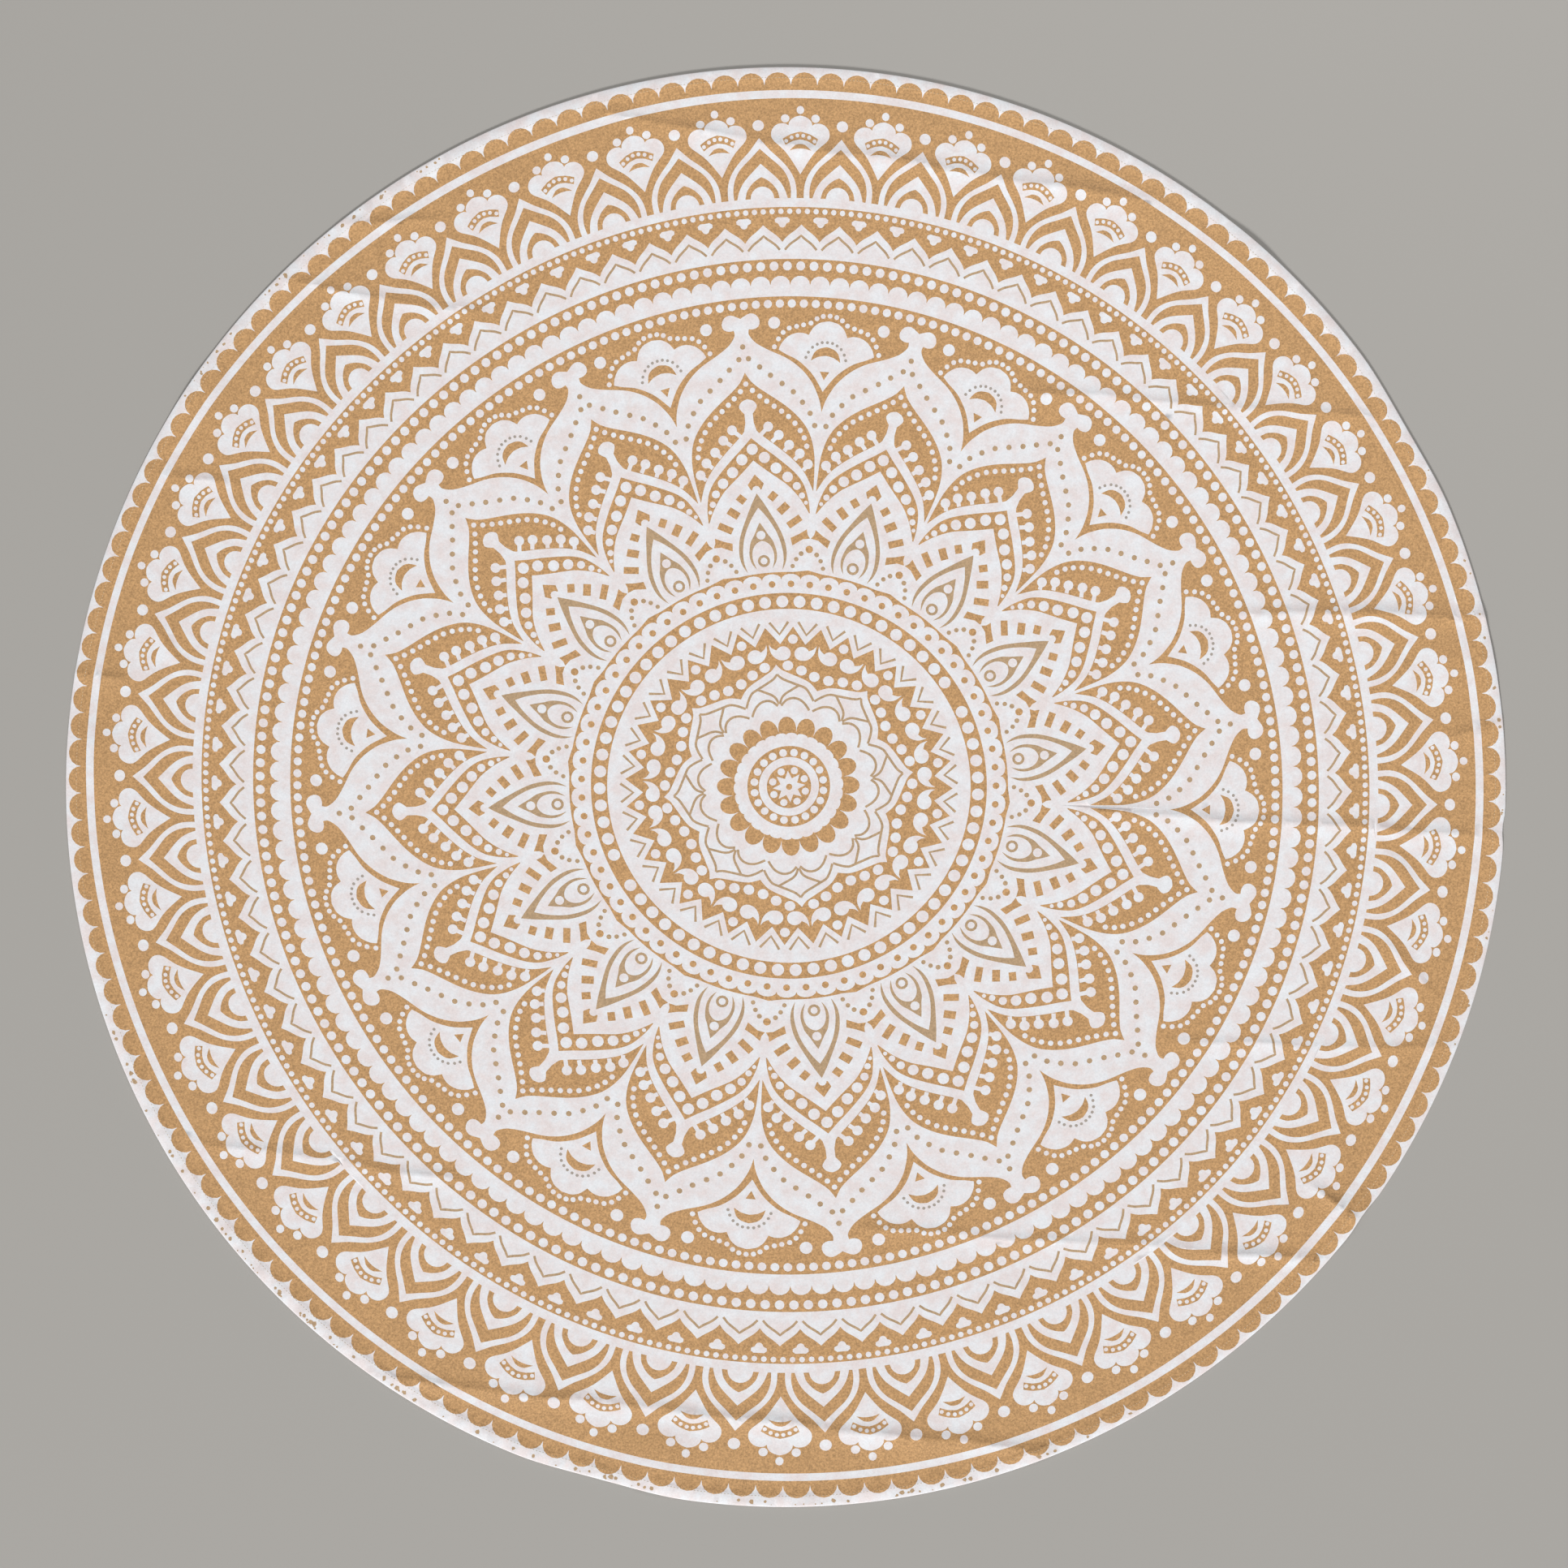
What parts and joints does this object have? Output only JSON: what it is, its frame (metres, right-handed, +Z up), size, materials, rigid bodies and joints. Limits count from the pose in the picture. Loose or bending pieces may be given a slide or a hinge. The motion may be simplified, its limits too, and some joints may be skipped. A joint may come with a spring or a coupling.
{
  "type": "round tablecloth",
  "caption": "Round printed cotton tablecloth, laid out flat, with a narrow turned hem and soft packing folds; covers a table or lies as a spread.",
  "frame": {"origin": "under the middle of the cloth, on the surface that it lies on", "axes": "+Z up, away from that surface; +Y towards the top of the picture and +X towards its right"},
  "size_m": [1.78, 1.78, 0.0057],
  "materials": {
    "printed_cotton": "white cotton with a gold print, matt"
  },
  "bodies": {
    "root": {"cloth": "printed_cotton"}
  },
  "joints": []
}
